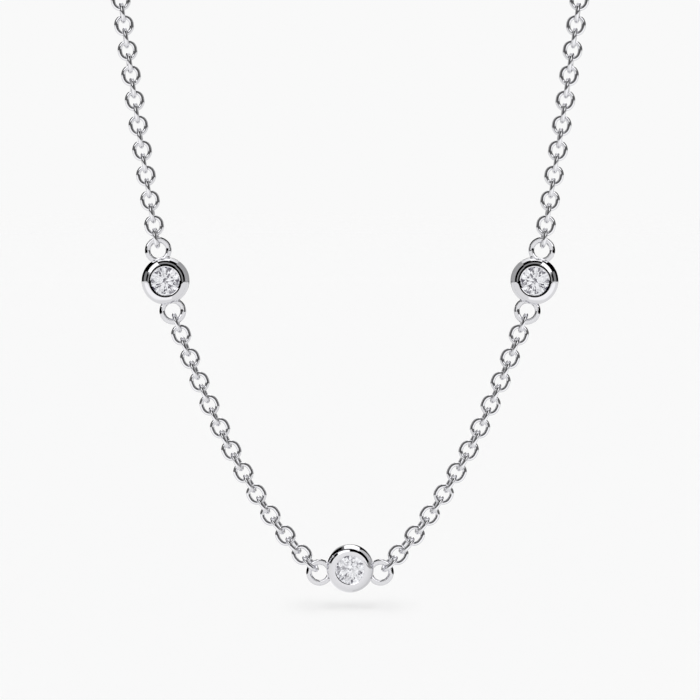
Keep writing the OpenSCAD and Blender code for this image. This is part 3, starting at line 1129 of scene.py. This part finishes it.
def make_overhead(studio, middle):
    """Two long tubes from front to back overhead, brighter towards their ends. They light the floor
    alone, and only the centre station shades it from them."""
    sides = (studio.tube_inner, studio.tube_outer)

    def tilt_of(out):
        """Angle from straight overhead, at a share of the tubes' length."""
        return studio.tube_reach * (2 * out - 1)

    def place(along, out):
        return studio.tube_height * Vector((-part_way(sides, along), math.tan(tilt_of(out)), 1))

    def brightness(out):
        return (1 - studio.tube_dip * math.cos(tilt_of(out))) / math.cos(tilt_of(out))

    def light_from(out):
        """Light that a thin part of both tubes sheds on the floor, for a height of 1."""
        aside = part_way(sides, 0.5)
        deep = math.tan(tilt_of(out))
        size = 2 * (sides[1] - sides[0]) * 2 * studio.tube_reach * (1 + deep ** 2)
        return brightness(out) * size / (1 + aside ** 2 + deep ** 2) ** 2

    # The glow is scaled to a light of pi in all, in which the floor shows its own paleness.
    full = sum(light_from((i + 0.5) / TUBE_PARTS) for i in range(TUBE_PARTS)) / TUBE_PARTS
    lit = collected("Lit_floor", [bpy.data.objects["Floor"]])
    casting = collected("Casting", [bpy.data.objects[name] for name in CASTING])
    material = glow_material("Overhead")
    # Unlike the cards, the tubes are looked for by the dull floor.
    material.cycles.emission_sampling = "FRONT_BACK"
    for name, side in (("Tube_left", -1), ("Tube_right", 1)):
        tube = light_card(name, material, middle, side, place,
                          lambda along, out: brightness(out) * math.pi / full, lit)
        tube.visible_diffuse = True
        hide_from(tube, "glossy", "transmission")
        tube.light_linking.blocker_collection = casting


def make_camera(scene):
    """A long lens, raised a little and aimed at the middle of the picture."""
    studio, drape = scene.necklace_studio, scene.necklace_drape
    data = bpy.data.cameras.new("Camera")
    data.lens = data.sensor_width * math.hypot(studio.distance, studio.camera_rise) / studio.frame_width
    data.clip_start, data.clip_end = CLIP
    camera = bpy.data.objects.new("Camera", data)
    height = studio.frame_middle + studio.camera_rise
    camera.location = (0, -drape.neck_depth - studio.distance, height)
    camera.rotation_euler = (math.pi / 2 - math.atan(studio.camera_rise / studio.distance), 0, 0)
    scene.collection.objects.link(camera)
    scene.camera = camera


class NECKLACE_OT_stage(Operator):
    """Makes the pale table, the studio light and the camera."""

    bl_idname = "necklace.stage"
    bl_label = "Stage"

    def execute(self, context):
        scene = context.scene
        studio = scene.necklace_studio
        middle = Vector((0, -scene.necklace_drape.neck_depth, -studio.lights_drop))
        make_floor(studio)
        make_world(studio)
        make_lights(studio, middle)
        make_overhead(studio, middle)
        make_camera(scene)
        scene.view_settings.view_transform = "Standard"
        # Light turns many times inside a stone and between the links.
        scene.cycles.max_bounces = 24
        scene.cycles.glossy_bounces = 16
        scene.cycles.transmission_bounces = 20
        # Metal and stones throw no glints on the table.
        scene.cycles.caustics_reflective = False
        scene.cycles.caustics_refractive = False
        return {"FINISHED"}


OPERATORS = (
    NECKLACE_OT_settings,
    NECKLACE_OT_stones,
    NECKLACE_OT_front_chain,
    NECKLACE_OT_back_chain,
    NECKLACE_OT_clasp,
    NECKLACE_OT_stage,
)


class NECKLACE_PT_sidebar(Panel):
    """Lists the steps and their sizes."""

    bl_label = "Necklace"
    bl_space_type = "VIEW_3D"
    bl_region_type = "UI"
    bl_category = "Necklace"

    def draw(self, context):
        for operator in OPERATORS:
            self.layout.operator(operator.bl_idname)
        for attribute, group in GROUPS.items():
            box = self.layout.box()
            box.label(text=group.__doc__)
            for name in group.__annotations__:
                box.prop(getattr(context.scene, attribute), name)


CLASSES = (*GROUPS.values(), *OPERATORS, NECKLACE_PT_sidebar)


def register():
    """Makes the classes and their settings known to Blender."""
    for each in CLASSES:
        bpy.utils.register_class(each)
    for attribute, group in GROUPS.items():
        setattr(bpy.types.Scene, attribute, PointerProperty(type=group))


def unregister():
    """Undoes what register does."""
    for attribute in GROUPS:
        delattr(bpy.types.Scene, attribute)
    for each in reversed(CLASSES):
        bpy.utils.unregister_class(each)


def main():
    """Makes everything in order."""
    register()
    for operator in OPERATORS:
        group, name = operator.bl_idname.split(".")
        getattr(getattr(bpy.ops, group), name)()


if __name__ == "__main__":
    main()
